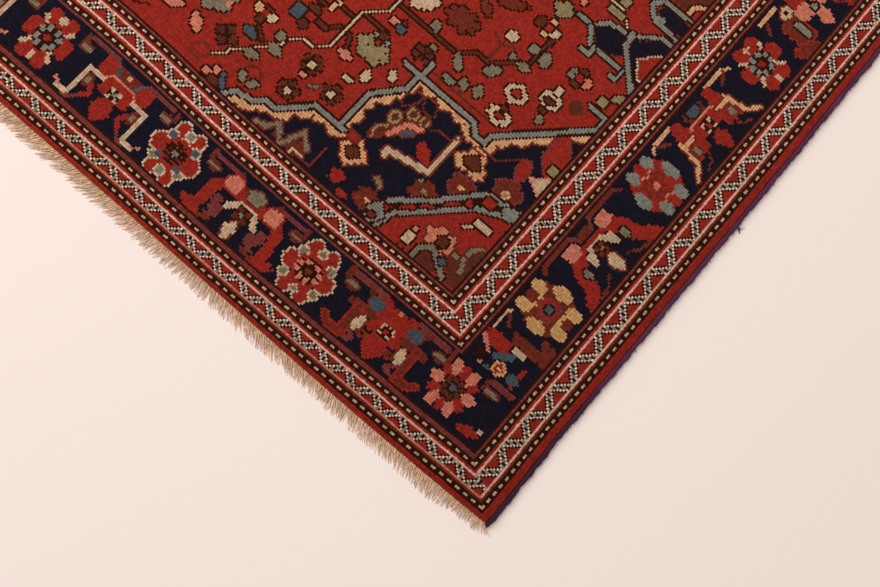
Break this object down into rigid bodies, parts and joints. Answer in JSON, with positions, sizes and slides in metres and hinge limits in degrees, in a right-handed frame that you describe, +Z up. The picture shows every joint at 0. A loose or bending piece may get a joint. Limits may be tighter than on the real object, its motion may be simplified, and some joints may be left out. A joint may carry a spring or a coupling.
{
  "type": "persian rug",
  "caption": "Hand-knotted rectangular wool rug: navy border of rosettes, red flowered field, overcast long sides, short cotton fringe at both ends.",
  "frame": {"origin": "under the middle of the whole rug with its fringe, on the surface that it lies on", "axes": "+Y along the warps and the rug's length, +X across its width, +Z up out of the pile"},
  "size_m": [1.31, 2.062, 0.0065],
  "materials": {
    "pile": "short worn wool pile, many colours",
    "overcast": "purple wool wrapped round the side cords",
    "warp_cotton": "undyed cotton threads"
  },
  "bodies": {
    "root": {"rug_body": "pile", "selvedge_right": "overcast", "selvedge_left": "overcast", "fringe_front": "warp_cotton", "fringe_back": "warp_cotton"}
  },
  "joints": []
}
